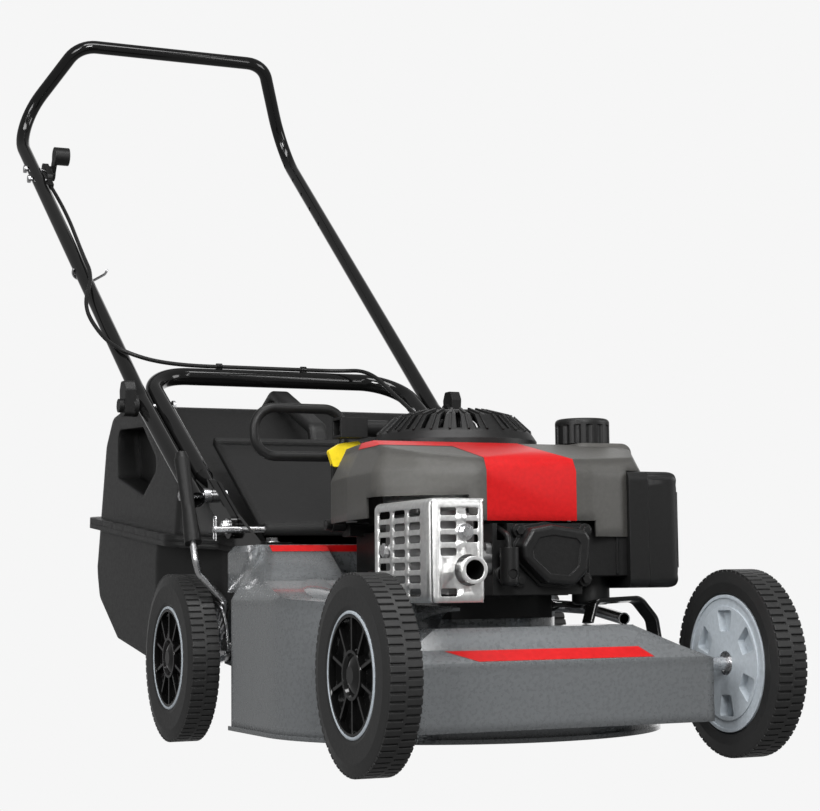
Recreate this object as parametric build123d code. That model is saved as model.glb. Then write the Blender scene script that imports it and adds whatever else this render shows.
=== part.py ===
from build123d import *
import math
import os

os.makedirs("parts", exist_ok=True)

# A walk-behind rotary mower. Lengths are millimetres, +Z is up and the front faces -Y.
# While drawing, Y counts back from the front axle and Z up from the ground.

# Wheels
FRONT_TYRE = 203.0
REAR_TYRE = 208.0
TYRE_WIDTH = 39.0
TREAD_DEPTH = 2.2
TREAD_RIBS = 70
RIM_RADIUS = 62.5
DISC_RADIUS = 74.0
RIM_POCKETS = 6
CAP_RIBS = 10
BEARING_RADIUS = 13.0
AXLE_RADIUS = 6.0
FRONT_WHEEL_X = 219.0
REAR_WHEEL_X = 238.0
WHEELBASE = 569.0
CRANK_BACK = 42.0
CRANK_DROP = 6.0

# Deck
DECK_RADIUS = 230.0
DECK_LIP = 24.0
DECK_TOP = 118.0
DECK_WALL = 3.0
CRANK_Y = 262.0
SIDE_END = 396.0
HOOD_TOP = 240.0
HOOD_REAR = 466.0
HOOD_HALF = 211.0
WELL_HALF = 188.0
WELL_TOP = 184.0
SHOULDER = 171.0
VOLUTE_RADIUS = 167.0
VOLUTE_TUBE = 52.0
BAR_HALF = 152.0
BAR_FAR = 190.0
BAR_FRONT = -52.0
BAR_BACK = 28.0
BAR_TOP = 146.0
BAR_LOW = 44.0
MOUTH_HALF = 150.0

# Handle
TUBE_LOWER = 25.0
TUBE_UPPER = 22.0
TUBE_WALL = 1.8
LEG_X = 195.0
BOLT_ONE = (572.0, 307.0)
BOLT_TWO = (503.0, 266.0)
LEG_TOP = (891.0, 494.5)
ARM_X = 221.0
ARM_ELBOW = (815.0, 450.0)
GRIP_BEND = (246.0, 1541.0, 990.0)
GRIP_TOP = (165.0, 1412.0, 1115.0)
KNOB_ALONG = 264.0
ACCESSORY_HOLES = 5

# Engine
SHAFT_RADIUS = 12.5
ENGINE_BASE = 152.0
CASE_RADIUS = 108.0
COVER_TOP = 336.0
COVER_BOTTOM = 262.0
DOME_RADIUS = 97.0
DOME_TOP = 392.0
CAP_X = 140.0
CAP_Y = 205.0
CAP_RADIUS = 32.0
MUFFLER = (-170.0, -108.0, -48.0, 96.0, 170.0, 276.0)
GUARD_SHEET = 2.0
EXHAUST_RADIUS = 12.0
PLUG_X = -48.5
PLUG_Z = 200.0
CONTROL_Y = 335.0
CONTROL_Z = 262.0

# Cutter
DISC_PLATE = 150.0
BLADE_REACH = 197.0
BLADE_PIVOT = 128.0
BLADE_Z = 48.0
BLADES = 4

# Catcher
CATCH_FRONT = 500.0
CATCH_REAR = 1064.0
CATCH_HALF = 226.0
CATCH_WALL = 3.0
SEAM_FRONT = 238.0
SEAM_REAR = 291.0
FLANGE = 12.0
CATCH_TOP = 451.0
CATCH_FLOOR = 100.0
CATCH_DRAFT = 4.0

# Height lever
LEVER_PIVOT = (512.0, 118.0)
LEVER_OUT = 246.0
LEVER_IN = 206.0
QUADRANT_RADIUS = 56.0

FRONT_R = FRONT_TYRE / 2
REAR_R = REAR_TYRE / 2
HALF = TYRE_WIDTH / 2
FRONT_AXLE = (0.0, FRONT_R)
REAR_AXLE = (WHEELBASE, REAR_R)
FRONT_PIVOT = (CRANK_BACK, FRONT_R + CRANK_DROP)
REAR_PIVOT = (WHEELBASE - CRANK_BACK, REAR_R + CRANK_DROP)
REACH_BACK = GRIP_BEND[1] - 25.0
ORIGIN_Y = (REACH_BACK - FRONT_R) / 2
LEG_SLOPE = math.atan2(LEG_TOP[1] - BOLT_ONE[1], LEG_TOP[0] - BOLT_ONE[0])
KNOB = (BOLT_ONE[0] + KNOB_ALONG * math.cos(LEG_SLOPE),
        BOLT_ONE[1] + KNOB_ALONG * math.sin(LEG_SLOPE))
FLAP_PIVOT = (HOOD_REAR + 12.0, HOOD_TOP + 21.0)


def box(x0, x1, y0, y1, z0, z1):
    return Pos((x0 + x1) / 2, (y0 + y1) / 2, (z0 + z1) / 2) * Box(x1 - x0, y1 - y0, z1 - z0)


def rod_x(x0, x1, y, z, r):
    return Pos((x0 + x1) / 2, y, z) * Rot(0, 90, 0) * Cylinder(r, abs(x1 - x0))


def rod_y(x, y0, y1, z, r):
    return Pos(x, (y0 + y1) / 2, z) * Rot(90, 0, 0) * Cylinder(r, abs(y1 - y0))


def rod_z(x, y, z0, z1, r):
    return Pos(x, y, (z0 + z1) / 2) * Cylinder(r, z1 - z0)


def outline(points, radius=0.0):
    face = Polygon(*points, align=None)
    return fillet(face.vertices(), radius) if radius else face


def plate_x(points, x0, x1, radius=0.0):
    return extrude(Plane.YZ.offset(x0) * outline(points, radius), x1 - x0, dir=(1, 0, 0))


def plate_y(points, y0, y1, radius=0.0):
    return extrude(Plane.XZ.offset(-y1) * outline(points, radius), y1 - y0, dir=(0, -1, 0))


def plate_z(points, z0, z1, radius=0.0):
    return extrude(Plane.XY.offset(z0) * outline(points, radius), z1 - z0, dir=(0, 0, 1))


def strap_x(a, b, width, x0, x1):
    # A flat bar with round ends between two points of the side view.
    run = math.dist(a, b)
    turn = math.degrees(math.atan2(b[1] - a[1], b[0] - a[0]))
    shape = SlotCenterToCenter(run, width)
    place = Plane.YZ.offset(x0) * Pos((a[0] + b[0]) / 2, (a[1] + b[1]) / 2) * Rot(0, 0, turn)
    return extrude(place * shape, x1 - x0)


def hex_x(x0, x1, y, z, across):
    place = Plane.YZ.offset(x0) * Pos(y, z)
    return extrude(place * RegularPolygon(across / math.sqrt(3), 6), x1 - x0)


def bar(points, r, bend):
    path = FilletPolyline(*points, radius=bend)
    return sweep(Plane(path @ 0, z_dir=path % 0) * Circle(r), path=path)


def pipe(points, r, bend, wall):
    return bar(points, r, bend) - bar(points, r - wall, bend)


def turned_x(points):
    return revolve(outline(points), Axis.X)


def flip(shape):
    return mirror(shape, about=Plane.YZ)


def leg_point(along, lift=0.0):
    # A point on the lower handle leg, counted from the fold bolt, lifted square to the leg.
    c = math.cos(LEG_SLOPE)
    s = math.sin(LEG_SLOPE)
    return (BOLT_ONE[0] + along * c - lift * s, BOLT_ONE[1] + along * s + lift * c)


NODES = {}


def keep(name, *shapes):
    solids = [s for shape in shapes for s in shape.solids()]
    NODES[name] = solids


# Wheels

def tread(radius, x0, x1, phase):
    pitch = 2 * math.pi / TREAD_RIBS
    points = []
    for i in range(TREAD_RIBS):
        low = radius - TREAD_DEPTH
        for part, r in ((-0.34, radius), (0.34, radius), (0.4, low), (0.6, low)):
            a = (i + part + phase) * pitch
            points.append((r * math.cos(a), r * math.sin(a)))
    ring = extrude(Plane.YZ.offset(x0) * Polygon(*points, align=None), x1 - x0)
    return ring - rod_x(x0 - 1, x1 + 1, 0, 0, radius - TREAD_DEPTH - 2)


def tyre(radius):
    base = radius - TREAD_DEPTH
    wall = HALF - 4
    section = outline([(-wall, RIM_RADIUS + 1.5), (-wall, DISC_RADIUS + 0.5), (-HALF + 0.6, DISC_RADIUS + 2.5),
                       (-HALF, base - 12), (-HALF + 2.5, base), (HALF - 2.5, base), (HALF, base - 12),
                       (HALF - 0.6, RIM_RADIUS + 6), (HALF - 2, RIM_RADIUS + 1.5)])
    section = fillet([v for v in section.vertices() if v.Y > base - 14], 2.2)
    body = revolve(section, Axis.X)
    ridge = rod_x(-1.3, 1.3, 0, 0, radius) - rod_x(-2, 2, 0, 0, base - 2)
    return body + tread(radius, 1.2, HALF - 2.6, 0) + tread(radius, 2.6 - HALF, -1.2, 0.5) + ridge


def rim():
    r = RIM_RADIUS + 1.4
    shape = turned_x([(-HALF + 0.4, BEARING_RADIUS + 0.06), (-HALF + 0.4, DISC_RADIUS), (-HALF + 3.8, DISC_RADIUS),
                      (-HALF + 3.8, r), (HALF - 1.6, r), (HALF - 0.8, RIM_RADIUS), (HALF - 0.8, RIM_RADIUS - 1.8),
                      (-HALF + 13, RIM_RADIUS - 3), (-HALF + 13, 20), (3.5, 18), (3.5, BEARING_RADIUS + 0.06)])
    window = outline([(-9, 34), (9, 34), (14.5, 57), (-14.5, 57)], 3)
    pocket = extrude(Plane.YZ.offset(-HALF) * window, 9.5)
    step = rod_x(-HALF, -HALF + 1.8, 0, 0, 70.5) - rod_x(-HALF, -HALF + 1.8, 0, 0, 61.5)
    shape = shape - step
    for i in range(RIM_POCKETS):
        shape = shape - Rot(360 / RIM_POCKETS * i, 0, 0) * pocket
    return shape


def hub_cap():
    edge = RIM_RADIUS - 2.45
    shape = turned_x([(9.6, 0), (9.6, 18), (8, 26), (8, edge), (HALF - 1.4, edge), (HALF - 1.4, edge - 2.6),
                      (10.8, edge - 3.4), (10.8, 26), (HALF - 2, 25), (HALF - 2, 22), (14, 20.5), (HALF - 0.8, 9),
                      (HALF - 0.8, 0)])
    rib = box(10, HALF - 3, -1.6, 1.6, 24, edge - 2)
    for i in range(CAP_RIBS):
        shape = shape + Rot(360 / CAP_RIBS * i, 0, 0) * rib
    return shape


def bearing(x0):
    ring = rod_x(x0, x0 + 9, 0, 0, BEARING_RADIUS) - rod_x(x0, x0 + 9, 0, 0, AXLE_RADIUS + 0.02)
    groove = rod_x(x0 - 1, x0 + 1, 0, 0, 11) - rod_x(x0 - 1, x0 + 1, 0, 0, 8.6)
    return ring - groove


RIM = rim()
CAP = hub_cap()
TYRES = {"front": tyre(FRONT_R), "rear": tyre(REAR_R)}
PLACES = {"front": (FRONT_WHEEL_X,) + FRONT_AXLE, "rear": (REAR_WHEEL_X,) + REAR_AXLE}
for end in ("front", "rear"):
    x, y, z = PLACES[end]
    pieces = {"tyre": TYRES[end], "rim": RIM, "hub_cap": CAP}
    for piece, shape in pieces.items():
        left = Pos(x, y, z) * shape
        keep(end + "_left_" + piece, left)
        keep(end + "_right_" + piece, flip(left))
    rings = [Pos(x, y, z) * bearing(-HALF + 0.6), Pos(x, y, z) * bearing(-HALF + 13.4)]
    keep(end + "_bearings", *rings, *[flip(r) for r in rings])


def axle(place, pivot, arm_x, arm_thick, stub):
    # A cranked axle: cross rod, two arms, two pivot stubs, collars and end nuts.
    wheel_x, y, z = place
    end = wheel_x + 8.6
    shape = rod_x(-end, end, y, z, AXLE_RADIUS)
    for side in (1, -1):
        def mirrored(s):
            return s if side == 1 else flip(s)
        arm = strap_x((y, z), pivot, 20, arm_x, arm_x + arm_thick)
        collar = rod_x(arm_x, wheel_x - HALF + 0.3, y, z, 7.5)
        shape = shape + mirrored(arm) + mirrored(collar)
        shape = shape + mirrored(rod_x(stub[0], stub[1], pivot[0], pivot[1], 7))
        shape = shape + mirrored(hex_x(wheel_x + 3.9, wheel_x + 8, y, z, 17))
    return shape


keep("front_axle", axle(PLACES["front"], FRONT_PIVOT, 116, 6, (118, 131.5)))
keep("rear_axle", axle(PLACES["rear"], REAR_PIVOT, 192, 5, (186.5, 195)))


# Deck

def front_bar(t):
    # The bar reaches further to the right of the machine than to the left.
    h = BAR_HALF - t
    far = t - BAR_FAR
    front = [(far, BAR_LOW - t), (h, BAR_LOW - t), (h, 110 - t), (h - 82, BAR_TOP - t), (far + 34, BAR_TOP - t),
             (far, 124 - t)]
    face = plate_y(front, BAR_FRONT + t, BAR_BACK + (60 if t else 22))
    low = BAR_LOW - (20 if t else 0)
    back = BAR_BACK + (60 if t else 22)
    edge = BAR_FRONT + t
    side = [(edge, low), (edge, 112 - t), (edge + 15, 125 - t), (edge + 26, BAR_TOP - t), (back, BAR_TOP - t), (back, low)]
    shape = face & plate_x(side, far, h)
    if t:
        shape = shape + box(far, h, BAR_FRONT + t, BAR_BACK + 60, 10, 60)
        shape = shape + box(-BAR_FAR - 5, BAR_HALF + 5, -13, BAR_BACK + 60, 55, 110)
    return shape


def pan(t):
    # The half-round cutting chamber with straight sides, set in by t.
    r = DECK_RADIUS - t
    low = DECK_LIP - (20 if t else 0)
    half_round = rod_z(0, CRANK_Y, low, DECK_TOP - t, r) & box(-r, r, 0, CRANK_Y, low, DECK_TOP - t)
    shape = half_round + box(-r, r, CRANK_Y, SIDE_END - t, low, DECK_TOP - t)
    back = HOOD_REAR - t
    return shape + box(-WELL_HALF + t, WELL_HALF - t, SIDE_END - t - 20, back, low, DECK_TOP - t)


def wing(t):
    # The raised right shoulder, rising to the hood at the back.
    low = DECK_TOP - 10
    r = DECK_RADIUS - t
    side = [(CRANK_Y - 190, low), (CRANK_Y - 150, SHOULDER - t), (CRANK_Y - 40, SHOULDER + 6 - t),
            (CRANK_Y + 50, SHOULDER + 26 - t), (SIDE_END - 20 - t, HOOD_TOP - t), (SIDE_END - t, HOOD_TOP - t),
            (SIDE_END - t, low)]
    shape = plate_x(side, -r, -118 - t)
    shape = (shape & rod_z(0, CRANK_Y, 0, 400, r)) + (shape & box(-r, 0, CRANK_Y, 600, 0, 400))
    inner = -118 - t
    face = [(-r, low), (inner, low), (inner, HOOD_TOP - t), (-r + 34, HOOD_TOP - t), (-r, SHOULDER + 4 - t)]
    return (shape & plate_y(face, -100, 700)) - rod_z(0, CRANK_Y, 0, 500, 113.5 + t)


def hood(t):
    h = HOOD_HALF - t
    front = SIDE_END - 22 + t
    upper = plate_y([(-h, WELL_TOP + t), (h, WELL_TOP + t), (h, HOOD_TOP - 8 - t), (h - 8, HOOD_TOP - t),
                     (-h + 8, HOOD_TOP - t), (-h, HOOD_TOP - 8 - t)], front, HOOD_REAR - t)
    lower = box(-WELL_HALF + t, WELL_HALF - t, front, HOOD_REAR - t, DECK_TOP - 20, HOOD_TOP - 20)
    return upper + lower


def volute(t):
    # The round scroll that climbs round the cutter to the back right.
    ring = Pos(0, CRANK_Y, 138) * Rot(9, 0, 0) * Torus(VOLUTE_RADIUS, VOLUTE_TUBE - t)
    keep_box = box(-400, -70, 100, SIDE_END - 5, DECK_TOP - 10, 300)
    r = DECK_RADIUS - t
    return (ring & keep_box & rod_z(0, CRANK_Y, 0, 400, r)) - rod_z(0, CRANK_Y, 0, 500, 114.5 + t)


def deck_form(t):
    return pan(t) + wing(t) + hood(t) + volute(t)


def deck():
    shape = deck_form(0) - deck_form(DECK_WALL)
    nose = front_bar(0) - front_bar(DECK_WALL)
    back = box(-100, 100, BAR_BACK - 4, BAR_BACK - 1, 100, BAR_TOP - 1)
    sill = box(-100, 100, BAR_BACK - 4, 150, DECK_TOP - DECK_WALL, DECK_TOP)
    nose = nose + back + sill - rod_z(0, CRANK_Y, 0, 300, DECK_RADIUS - 1.5)
    shape = shape + nose
    boss = rod_z(0, CRANK_Y, DECK_TOP - DECK_WALL, ENGINE_BASE, CASE_RADIUS + 6)
    boss = boss - rod_z(0, CRANK_Y, DECK_TOP - 10, ENGINE_BASE - DECK_WALL, CASE_RADIUS + 3)
    shape = shape - rod_z(0, CRANK_Y, DECK_TOP - 10, ENGINE_BASE + 60, CASE_RADIUS + 3) + boss
    shape = shape - rod_z(0, CRANK_Y, 100, 300, SHAFT_RADIUS + 18)
    lip = rod_z(0, CRANK_Y, DECK_LIP, DECK_LIP + 5, DECK_RADIUS + 4) - rod_z(0, CRANK_Y, 0, 60, DECK_RADIUS - 1)
    lip = lip & box(-400, 400, -100, CRANK_Y, 0, 100)
    for side in (1, -1):
        strip = box(DECK_RADIUS - 1, DECK_RADIUS + 4, CRANK_Y, SIDE_END, DECK_LIP, DECK_LIP + 5)
        lip = lip + (strip if side == 1 else flip(strip))
    shape = shape + lip
    mouth = box(-MOUTH_HALF, MOUTH_HALF, HOOD_REAR - 20, HOOD_REAR + 20, 58, HOOD_TOP - 14)
    shape = shape - mouth
    for side in (1, -1):
        lug = strap_x((FRONT_PIVOT[0], FRONT_PIVOT[1]), (FRONT_PIVOT[0] + 60, FRONT_PIVOT[1] - 6), 24, 124.5, 130)
        lug = lug - rod_x(110, 150, FRONT_PIVOT[0], FRONT_PIVOT[1], 7.06)
        lug = lug - rod_z(0, CRANK_Y, 0, 300, DECK_RADIUS - 2)
        shape = shape + (lug if side == 1 else flip(lug))
    for x in (-1, 1):
        for y in (-1, 1):
            shape = shape - rod_z(72 * x, CRANK_Y + 72 * y, 100, 200, 4.6)
        shape = shape - rod_z(166 * x, HOOD_REAR - 34, HOOD_TOP - 30, HOOD_TOP + 9, 4.05)
    return shape


keep("deck", deck())


# Handle brackets, their bolts and the pins under them

def bracket():
    up = leg_point(8, 16)
    down = leg_point(8, -17)
    low = leg_point(-78, -18)
    plate = plate_x([(HOOD_REAR - 62, HOOD_TOP + 0.1), leg_point(-80, 16), up, leg_point(15, 9),
                     leg_point(15, -10), down, low, (HOOD_REAR + 14, HOOD_TOP - 14), (REAR_PIVOT[0] + 16, REAR_PIVOT[1] + 16),
                     (REAR_PIVOT[0] + 16, REAR_PIVOT[1] - 14), (REAR_PIVOT[0] - 30, REAR_PIVOT[1] - 18),
                     (HOOD_REAR + 0.2, 100), (HOOD_REAR + 0.2, HOOD_TOP + 0.1)], 186.4, 190.4)
    foot = box(150, 188, HOOD_REAR - 62, HOOD_REAR - 4, HOOD_TOP + 0.1, HOOD_TOP + 3.6)
    tab = box(160, 188, HOOD_REAR + 0.2, HOOD_REAR + 3.4, 104, 200)
    shape = plate + foot + tab
    shape = shape - rod_x(180, 200, BOLT_ONE[0], BOLT_ONE[1], 4.05)
    shape = shape - rod_x(180, 200, BOLT_TWO[0], BOLT_TWO[1], 4.05)
    shape = shape - rod_x(180, 200, REAR_PIVOT[0], REAR_PIVOT[1], 7.06)
    shape = shape - rod_x(180, 200, FLAP_PIVOT[0], FLAP_PIVOT[1], 4.05)
    shape = shape - rod_x(180, 200, LEVER_PIVOT[0], LEVER_PIVOT[1], 5.06)
    return shape - rod_z(166, HOOD_REAR - 34, 200, 300, 4.05)


BRACKET = bracket()
keep("handle_brackets", BRACKET, flip(BRACKET))


def cross_bolt(y, z, inner, outer):
    shank = rod_x(inner - 8, outer + 9, y, z, 4)
    head = hex_x(inner - 8, inner - 2.6, y, z, 13)
    washer = rod_x(inner - 2.6, inner - 0.1, y, z, 9)
    nut = hex_x(outer + 2, outer + 7.5, y, z, 13) + rod_x(outer + 0.1, outer + 2, y, z, 9.5)
    return shank + head + washer + nut


ARM_IN = ARM_X - TUBE_UPPER / 2
ARM_OUT = ARM_X + TUBE_UPPER / 2
BOLTS = [cross_bolt(BOLT_ONE[0], BOLT_ONE[1], 186.3, ARM_OUT + 0.3),
         cross_bolt(BOLT_TWO[0], BOLT_TWO[1], 186.3, 199)]
SPACER = rod_x(199.2, ARM_IN - 0.35, BOLT_ONE[0], BOLT_ONE[1], 9)
SPACER = SPACER - rod_x(190, 230, BOLT_ONE[0], BOLT_ONE[1], 4.02)
FOOT_BOLT = Pos(166, HOOD_REAR - 34, 0) * (rod_z(0, 0, HOOD_TOP - 9, HOOD_TOP + 8, 4)
                                          + rod_z(0, 0, HOOD_TOP + 3.7, HOOD_TOP + 5, 9)
                                          + extrude(Plane.XY.offset(HOOD_TOP + 5) * RegularPolygon(7.5, 6), 4.5))
FRAME_BOLTS = BOLTS + [SPACER, FOOT_BOLT] + [flip(s) for s in BOLTS + [SPACER, FOOT_BOLT]]


# Height lever and its notched quadrant

def quadrant():
    plate = rod_x(-215, -212.5, LEVER_PIVOT[0], LEVER_PIVOT[1], QUADRANT_RADIUS)
    y, z = LEVER_PIVOT
    plate = plate & box(-230, -200, y - 80, y + 8, z - 4, z + 80)
    plate = plate - rod_x(-230, -200, LEVER_PIVOT[0], LEVER_PIVOT[1], 31)
    for i in range(5):
        a = math.radians(112 + 12 * i)
        y = LEVER_PIVOT[0] + 36 * math.cos(a)
        z = LEVER_PIVOT[1] + 36 * math.sin(a)
        y1 = LEVER_PIVOT[0] + 47 * math.cos(a)
        z1 = LEVER_PIVOT[1] + 47 * math.sin(a)
        plate = plate - strap_x((y, z), (y1, z1), 6.6, -230, -200)
    y, z = LEVER_PIVOT
    tie = box(-215, -190.6, y - 56, y - 42, z - 4, z - 1.4)
    root = box(-193, -188.2, y - 60, y - 47, z - 24, z - 1.4)
    return plate + tie + root


keep("height_quadrant", quadrant())


def lever_at(r, turn=0.0):
    a = math.radians(104.0 + turn)
    return (LEVER_PIVOT[0] + r * math.cos(a), LEVER_PIVOT[1] + r * math.sin(a))


def lever():
    top = (LEVER_PIVOT[0] + 30, LEVER_PIVOT[1] + 232)
    low = lever_at(110)
    points = [(-LEVER_IN,) + lever_at(0, 8), (-LEVER_IN,) + lever_at(58, 8), (-LEVER_OUT + 6,) + lever_at(92),
              (-LEVER_OUT,) + low, (-LEVER_OUT,) + top]
    shape = bar(points, 4.2, 14)
    eye = rod_x(-LEVER_IN - 3.5, -LEVER_IN + 3.5, LEVER_PIVOT[0], LEVER_PIVOT[1], 10)
    stub = rod_x(-LEVER_IN, -186.6, LEVER_PIVOT[0], LEVER_PIVOT[1], 5)
    return shape + eye + stub


LEVER = lever()
keep("height_lever", LEVER)


def lever_grip():
    top = (LEVER_PIVOT[0] + 30, LEVER_PIVOT[1] + 232)
    low = lever_at(110)
    run = math.dist(low, top)
    turn = math.degrees(math.atan2(top[0] - low[0], top[1] - low[1]))
    section = outline([(0, 22), (10.5, 22), (10.5, 30), (8.2, 70), (9.6, run), (7, run + 9), (0, run + 10)])
    form = revolve(Plane.XZ * section, Axis.Z)
    return Pos(-LEVER_OUT, low[0], low[1]) * Rot(-turn, 0, 0) * form - LEVER


keep("lever_grip", lever_grip())

# Lower handle
CABLE = 3.0
BAR_LINE = LEG_TOP[1] + TUBE_LOWER / 2 + CABLE + 0.4


def bar_clip(x):
    # A welded loop that holds the cable on top of the cross bar.
    y = LEG_TOP[0]
    hold = rod_x(x - 4, x + 4, y, BAR_LINE, CABLE + 2) + box(x - 4, x + 4, y - 4, y + 4, BAR_LINE - 7, BAR_LINE)
    return hold - rod_x(x - 5, x + 5, y, BAR_LINE, CABLE + 0.1)


def lower_handle():
    end = leg_point(50)
    stop = leg_point(14)
    path = [(LEG_X,) + end, (LEG_X,) + LEG_TOP, (-LEG_X,) + LEG_TOP, (-LEG_X,) + end]
    shape = pipe(path, TUBE_LOWER / 2, 62, TUBE_WALL)
    lean = (0, math.cos(LEG_SLOPE), math.sin(LEG_SLOPE))
    for x in (LEG_X, -LEG_X):
        round_end = Plane((x,) + leg_point(56), x_dir=(1, 0, 0), z_dir=lean) * Circle(TUBE_LOWER / 2 - 0.2)
        flat_end = Plane((x,) + stop, x_dir=(1, 0, 0), z_dir=lean) * RectangleRounded(7, 26, 3)
        neck = loft([flat_end, round_end])
        tongue = strap_x(leg_point(14), leg_point(-82), 30, x - 4, x + 4)
        shape = shape + neck + tongue
        for point in (BOLT_ONE, BOLT_TWO):
            shape = shape - rod_x(x - 20, x + 20, point[0], point[1], 4.05)
        shape = shape - rod_x(x - 30, x + 30, KNOB[0], KNOB[1], 4.05)
    return shape


keep("lower_handle", lower_handle() + bar_clip(-LEG_X + 110) + bar_clip(LEG_X - 150))


# Upper handle

def upper_handle():
    bend = [(GRIP_BEND[0], GRIP_BEND[1], GRIP_BEND[2]), (GRIP_TOP[0], GRIP_TOP[1], GRIP_TOP[2])]
    start = leg_point(-12)
    right = [(ARM_X,) + start, (ARM_X,) + ARM_ELBOW, bend[0], bend[1]]
    path = right + [(-x, y, z) for x, y, z in reversed(right)]
    shape = pipe(path, TUBE_UPPER / 2, [90, 70, 46, 46, 70, 90], TUBE_WALL)
    for side in (1, -1):
        x0 = side * ARM_X - 20
        x1 = side * ARM_X + 20
        shape = shape - rod_x(x0, x1, BOLT_ONE[0], BOLT_ONE[1], 4.06)
        drop = leg_point(KNOB_ALONG, -20)
        shape = shape - strap_x(KNOB, drop, 9, x0, x1)
        for i in range(ACCESSORY_HOLES):
            share = 0.675 + 0.064 * i
            y = ARM_ELBOW[0] + share * (GRIP_BEND[1] - ARM_ELBOW[0])
            z = ARM_ELBOW[1] + share * (GRIP_BEND[2] - ARM_ELBOW[1])
            x = side * (ARM_X + share * (GRIP_BEND[0] - ARM_X))
            if side == 1:
                shape = shape - rod_x(x - 20, x + 20, y, z, 3.6)
    return shape


keep("upper_handle", upper_handle())


# Clamp knobs with their bolts

def knob():
    x0 = ARM_OUT + 0.6
    base = rod_x(x0, x0 + 7, 0, 0, 15)
    wing_form = plate_x([(-12, -14), (12, -14), (16, 22), (9, 34), (-9, 34), (-16, 22)], x0 + 5, x0 + 20, 5)
    stem = rod_x(x0 + 5, x0 + 26, 0, 0, 9.5)
    shape = base + wing_form + stem
    return shape - rod_x(x0 - 1, x0 + 18, 0, 0, 4.06)


KNOB_LEFT = Pos(0, KNOB[0], KNOB[1]) * knob()
keep("clamp_knob_left", KNOB_LEFT)
keep("clamp_knob_right", flip(KNOB_LEFT))
CLAMP = rod_x(LEG_X - 16, ARM_OUT + 16, KNOB[0], KNOB[1], 4)
CLAMP = CLAMP + rod_x(LEG_X - 16, LEG_X - 12.6, KNOB[0], KNOB[1], 9)
FRAME_BOLTS = FRAME_BOLTS + [CLAMP, flip(CLAMP)]


# Throttle control on the right arm, seen from behind

def arm_at(share, side=-1):
    x = ARM_X + share * (GRIP_BEND[0] - ARM_X)
    y = ARM_ELBOW[0] + share * (GRIP_BEND[1] - ARM_ELBOW[0])
    z = ARM_ELBOW[1] + share * (GRIP_BEND[2] - ARM_ELBOW[1])
    return (side * x, y, z)


ARM_TILT = math.degrees(math.atan2(GRIP_BEND[2] - ARM_ELBOW[1], GRIP_BEND[1] - ARM_ELBOW[0]))
THROTTLE = arm_at(0.8)


def on_arm(shape):
    # Local x points in from the arm, local y along it and local z square to both.
    return Pos(*THROTTLE) * Rot(ARM_TILT, 0, 0) * shape


def throttle_base():
    x0 = TUBE_UPPER / 2 + 2.6
    shape = plate_x([(-26, -13), (26, -13), (26, 13), (-26, 13)], x0, x0 + 9, 8)
    shape = shape + rod_x(x0, x0 + 13, 8, 0, 13) + box(x0, x0 + 8, -44, -20, -5, 5)
    for y in (-19, 19):
        shape = shape - rod_x(x0 - 1, x0 + 20, y, 0, 3.1)
    shape = shape - rod_x(x0 + 9.2, x0 + 20, 8, 0, 4.06)
    return on_arm(shape - rod_y(x0 + 4, -50, -30, 0, 2.2))


def throttle_lever():
    x0 = TUBE_UPPER / 2 + 16
    shape = rod_x(x0, x0 + 5, 8, 0, 12) + rod_x(x0 - 3.8, x0 + 2, 8, 0, 4) + box(x0, x0 + 5, -2, 18, 4, 30)
    return on_arm(shape + rod_x(x0, x0 + 24, 8, 33, 15))


keep("throttle_base", throttle_base())
keep("throttle_lever", throttle_lever())
SCREWS = []
for along in (-19, 19):
    x0 = -TUBE_UPPER / 2
    screw = rod_x(x0 - 2.2, TUBE_UPPER / 2 + 11, along, 0, 3) + rod_x(x0 - 6, x0 - 1.6, along, 0, 6.5)
    SCREWS.append(on_arm(screw))
SCREW_HOLES = on_arm(rod_x(-20, 20, -19, 0, 3.06) + rod_x(-20, 20, 19, 0, 3.06))
keep("upper_handle", NODES["upper_handle"][0] - SCREW_HOLES)


def coil_guide():
    # The wire eye that guides the starter cord on the arm.
    eye = Pos(*arm_at(0.42)) * Rot(ARM_TILT, 0, 0)
    r = TUBE_UPPER / 2 + 2.1
    ring = Torus(r, 2) & box(-r - 3, r + 3, -r - 3, 4, -3, 3)
    wire = bar([(0, -r, 0), (r + 8, -r - 1, 0), (r + 22, -r + 14, 6), (r + 22, -r + 26, 16)], 2, 6)
    return eye * (Rot(90, 0, 0) * ring) + eye * Rot(90, 0, 0) * wire


keep("arm_hardware", *SCREWS, coil_guide())


# Throttle cable: along the arm, a slack span past the fold, then the cross bar and the engine

CABLE_START = on_arm(Pos(TUBE_UPPER / 2 + 6.6, -44.5, 0))


def cable_upper():
    # Along the arm to the tie, out round the arm, then slack down to the cross bar.
    c = CABLE_START.position
    lean = math.radians(ARM_TILT)

    def beside(share, out, lift):
        # A point beside the arm: out across the machine, lift square to the arm.
        x, y, z = arm_at(share)
        return (x + out, y - lift * math.sin(lean), z + lift * math.cos(lean))

    points = [(c.X, c.Y, c.Z), beside(0.66, 22, 0), beside(0.36, 2, 21), beside(0.28, -27, 8),
              beside(0.19, -20, 6), beside(0.115, -8, 19), (-LEG_X + 28, LEG_TOP[0] - 4, BAR_LINE),
              (-LEG_X + 90, LEG_TOP[0], BAR_LINE)]
    return bar(points, CABLE, [40, 30, 40, 24, 20, 24])


def cable_lower():
    back = LEG_TOP[0]
    points = [(-LEG_X + 90.4, back, BAR_LINE), (LEG_X - 96, back, BAR_LINE), (LEG_X - 62, back - 44, BAR_LINE - 2),
              (LEG_X - 50, back - 120, BAR_LINE - 50), (LEG_X - 46, 420, 300), (150, 352, 246), (118, 330, 232),
              (84, 322, 228)]
    return bar(points, CABLE, [34, 30, 60, 60, 30, 14])


keep("cable_upper", cable_upper())
keep("cable_lower", cable_lower())


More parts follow.
